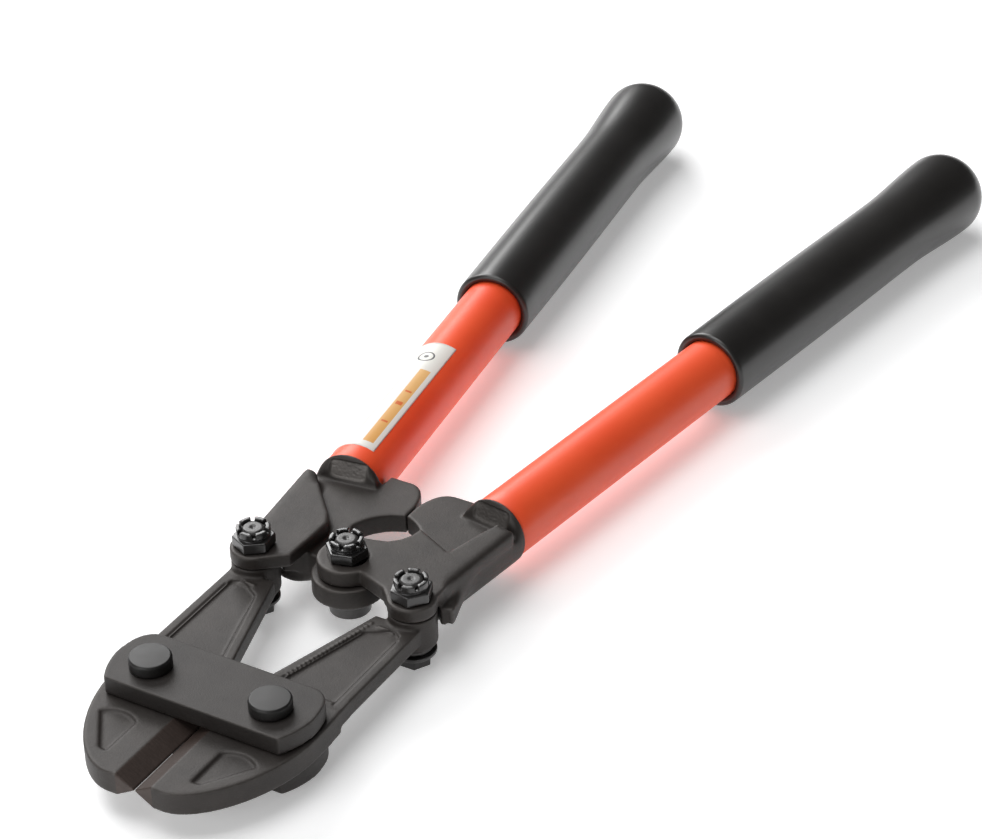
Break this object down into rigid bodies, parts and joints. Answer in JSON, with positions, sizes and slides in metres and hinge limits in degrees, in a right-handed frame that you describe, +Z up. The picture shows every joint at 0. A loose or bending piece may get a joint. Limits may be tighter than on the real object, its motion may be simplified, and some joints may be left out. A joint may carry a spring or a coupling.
{
  "type": "bolt cutters",
  "caption": "Compound-lever bolt cutters with forged jaws between two straps, slotted lock nuts, orange tubular handles and black vinyl grips.",
  "frame": {"origin": "middle of the length and of the width, on the surface that the closed tool lies on", "axes": "+X from the jaws back to the grips, +Y to the left handle, +Z up through the pivot bolts to the nuts"},
  "size_m": [0.4502, 0.1598, 0.0318],
  "materials": {
    "forged_steel": "matt forged and blackened",
    "black_oxide": "black oxide, satin gloss",
    "orange_powder_coat": "satin powder coat",
    "black_vinyl": "glossy dipped vinyl",
    "label_film": "satin printed film"
  },
  "bodies": {
    "straps": {"strap_upper": "forged_steel", "strap_lower": "forged_steel", "jaw_bolt_left": "black_oxide", "jaw_bolt_right": "black_oxide", "jaw_bolt_collar_left": "black_oxide", "jaw_bolt_collar_right": "black_oxide"},
    "jaw_left": {"jaw_left": "forged_steel"},
    "jaw_right": {"jaw_right": "forged_steel"},
    "handle_left": {"handle_forging_left": "forged_steel", "tube_left": "orange_powder_coat", "grip_left": "black_vinyl", "label": "label_film", "handle_bolt_left": "black_oxide", "handle_spacer_left": "black_oxide", "handle_nut_left": "black_oxide", "centre_bolt": "black_oxide", "centre_spacer": "black_oxide", "centre_nut": "black_oxide"},
    "handle_right": {"handle_forging_right": "forged_steel", "tube_right": "orange_powder_coat", "grip_right": "black_vinyl", "handle_bolt_right": "black_oxide", "handle_spacer_right": "black_oxide", "handle_nut_right": "black_oxide"}
  },
  "joints": [
    {"name": "jaw_left_pivot", "type": "hinge", "parent": "straps", "child": "jaw_left", "pos_m": [-0.18413, 0.0218, 0.0132], "axis": [0, 0, 1], "range_deg": [-9.24, 0]},
    {"name": "jaw_right_pivot", "type": "hinge", "parent": "straps", "child": "jaw_right", "pos_m": [-0.18413, -0.0218, 0.0132], "axis": [0, 0, 1], "range_deg": [0, 9.24]},
    {"name": "handle_left_pivot", "type": "hinge", "parent": "jaw_left", "child": "handle_left", "pos_m": [-0.11663, 0.0295, 0.0132], "axis": [0, 0, 1], "range_deg": [0, 45.2]},
    {"name": "handle_right_pivot", "type": "hinge", "parent": "jaw_right", "child": "handle_right", "pos_m": [-0.11663, -0.0295, 0.0132], "axis": [0, 0, 1], "range_deg": [-45.2, 0]}
  ],
  "couplings": [
    {"joint": "jaw_left_pivot", "follows": "handle_left_pivot", "ratio": -0.204},
    {"joint": "jaw_right_pivot", "follows": "handle_left_pivot", "ratio": 0.204},
    {"joint": "handle_right_pivot", "follows": "handle_left_pivot", "ratio": -1}
  ]
}
